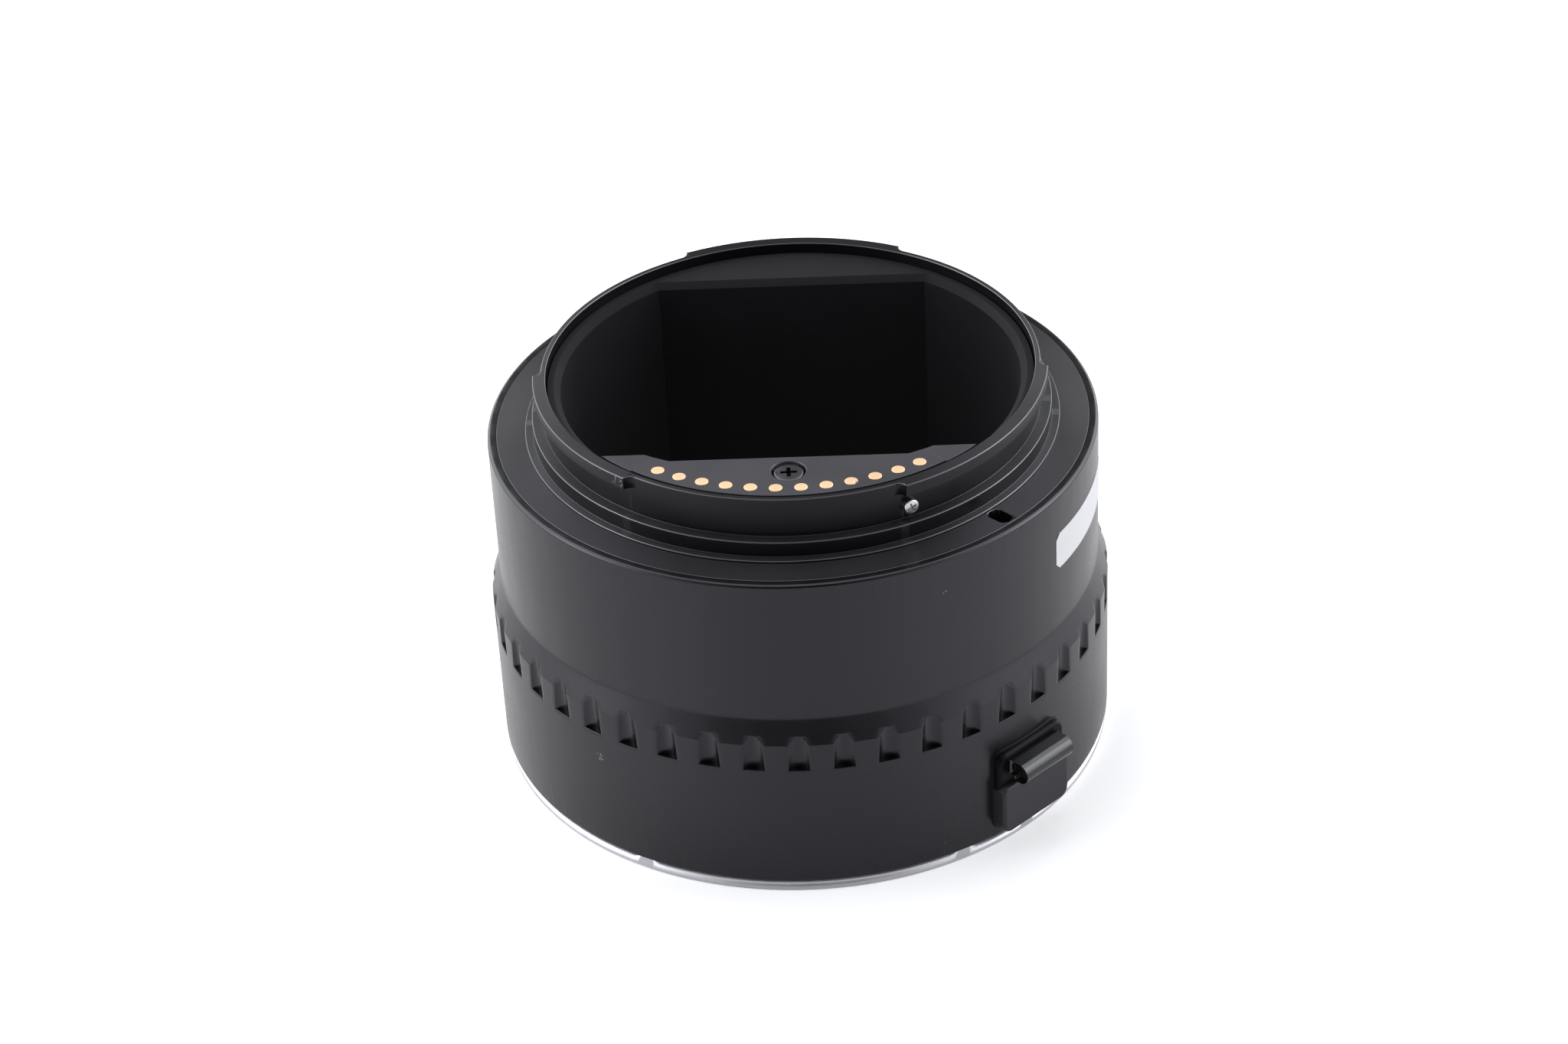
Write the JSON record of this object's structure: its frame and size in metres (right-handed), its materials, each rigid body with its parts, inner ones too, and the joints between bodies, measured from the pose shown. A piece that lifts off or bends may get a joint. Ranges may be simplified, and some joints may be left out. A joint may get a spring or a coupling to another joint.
{
  "type": "macro extension tube",
  "caption": "Extension tube between a camera body and a lens: bayonet with lugs on top, bayonet ring with claws below, light tunnel, contact rows and a release slider.",
  "frame": {"origin": "optical axis in the face that a lens is locked against, where the tube stands", "axes": "+Z along the optical axis towards the camera, -Y towards the row of contacts, +X to the right seen from the contact side"},
  "size_m": [0.0796, 0.0796, 0.0525],
  "materials": {
    "black_anodised": "black anodised, satin",
    "mount_black": "black anodised, satin",
    "silver": "turned, bright",
    "steel": "turned",
    "spring_steel": "drawn and bent",
    "tunnel_black": "matt, light absorbing",
    "block_black": "moulded, fine matt",
    "screw_black": "blackened",
    "flex_amber": "polyimide film",
    "gold": "gold plated",
    "slider_black": "moulded, satin gloss"
  },
  "bodies": {
    "tube": {"barrel": "black_anodised", "camera_mount_ring": "mount_black", "stop_pin": "steel", "lens_mount_ring": "silver", "lens_mount_screws": "steel", "camera_mount_screws": "steel", "light_tunnel": "tunnel_black", "camera_contact_block": "block_black", "contact_block_screw": "screw_black", "contact_flex": "flex_amber", "lens_contact_block": "block_black", "contact_springs": "spring_steel", "lens_block_screws": "steel", "lock_bracket": "steel", "bracket_screws": "steel", "lock_spring": "spring_steel", "contact_pad_01": "gold", "contact_pad_02": "gold", "contact_pad_03": "gold", "contact_pad_04": "gold", "contact_pad_05": "gold", "contact_pad_06": "gold", "contact_pad_07": "gold", "contact_pad_08": "gold", "contact_pad_09": "gold", "contact_pad_10": "gold", "contact_pad_11": "gold", "contact_pad_12": "gold", "claw_spring_1": "spring_steel", "claw_spring_2": "spring_steel", "claw_spring_3": "spring_steel"},
    "release": {"lock_pin": "steel", "release_slider": "slider_black"},
    "sprung_01": {"contact_pin_01": "gold"},
    "sprung_02": {"contact_pin_02": "gold"},
    "sprung_03": {"contact_pin_03": "gold"},
    "sprung_04": {"contact_pin_04": "gold"},
    "sprung_05": {"contact_pin_05": "gold"},
    "sprung_06": {"contact_pin_06": "gold"},
    "sprung_07": {"contact_pin_07": "gold"},
    "sprung_08": {"contact_pin_08": "gold"},
    "sprung_09": {"contact_pin_09": "gold"},
    "sprung_10": {"contact_pin_10": "gold"},
    "sprung_11": {"contact_pin_11": "gold"},
    "sprung_12": {"contact_pin_12": "gold"}
  },
  "joints": [
    {"name": "release_lift", "type": "slide", "parent": "tube", "child": "release", "axis": [0, 0, 1], "range_m": [-0.0013, 0], "stiffness_N_per_m": 100, "springref_m": -0.0013, "deforming": ["lock_spring"]},
    {"name": "pin_01_press", "type": "slide", "parent": "tube", "child": "sprung_01", "axis": [0, 0, 1], "range_m": [0, 0.0008], "stiffness_N_per_m": 80, "springref_m": -0.0006, "deforming": ["contact_springs"]},
    {"name": "pin_02_press", "type": "slide", "parent": "tube", "child": "sprung_02", "axis": [0, 0, 1], "range_m": [0, 0.0008], "stiffness_N_per_m": 80, "springref_m": -0.0006, "deforming": ["contact_springs"]},
    {"name": "pin_03_press", "type": "slide", "parent": "tube", "child": "sprung_03", "axis": [0, 0, 1], "range_m": [0, 0.0008], "stiffness_N_per_m": 80, "springref_m": -0.0006, "deforming": ["contact_springs"]},
    {"name": "pin_04_press", "type": "slide", "parent": "tube", "child": "sprung_04", "axis": [0, 0, 1], "range_m": [0, 0.0008], "stiffness_N_per_m": 80, "springref_m": -0.0006, "deforming": ["contact_springs"]},
    {"name": "pin_05_press", "type": "slide", "parent": "tube", "child": "sprung_05", "axis": [0, 0, 1], "range_m": [0, 0.0008], "stiffness_N_per_m": 80, "springref_m": -0.0006, "deforming": ["contact_springs"]},
    {"name": "pin_06_press", "type": "slide", "parent": "tube", "child": "sprung_06", "axis": [0, 0, 1], "range_m": [0, 0.0008], "stiffness_N_per_m": 80, "springref_m": -0.0006, "deforming": ["contact_springs"]},
    {"name": "pin_07_press", "type": "slide", "parent": "tube", "child": "sprung_07", "axis": [0, 0, 1], "range_m": [0, 0.0008], "stiffness_N_per_m": 80, "springref_m": -0.0006, "deforming": ["contact_springs"]},
    {"name": "pin_08_press", "type": "slide", "parent": "tube", "child": "sprung_08", "axis": [0, 0, 1], "range_m": [0, 0.0008], "stiffness_N_per_m": 80, "springref_m": -0.0006, "deforming": ["contact_springs"]},
    {"name": "pin_09_press", "type": "slide", "parent": "tube", "child": "sprung_09", "axis": [0, 0, 1], "range_m": [0, 0.0008], "stiffness_N_per_m": 80, "springref_m": -0.0006, "deforming": ["contact_springs"]},
    {"name": "pin_10_press", "type": "slide", "parent": "tube", "child": "sprung_10", "axis": [0, 0, 1], "range_m": [0, 0.0008], "stiffness_N_per_m": 80, "springref_m": -0.0006, "deforming": ["contact_springs"]},
    {"name": "pin_11_press", "type": "slide", "parent": "tube", "child": "sprung_11", "axis": [0, 0, 1], "range_m": [0, 0.0008], "stiffness_N_per_m": 80, "springref_m": -0.0006, "deforming": ["contact_springs"]},
    {"name": "pin_12_press", "type": "slide", "parent": "tube", "child": "sprung_12", "axis": [0, 0, 1], "range_m": [0, 0.0008], "stiffness_N_per_m": 80, "springref_m": -0.0006, "deforming": ["contact_springs"]}
  ]
}
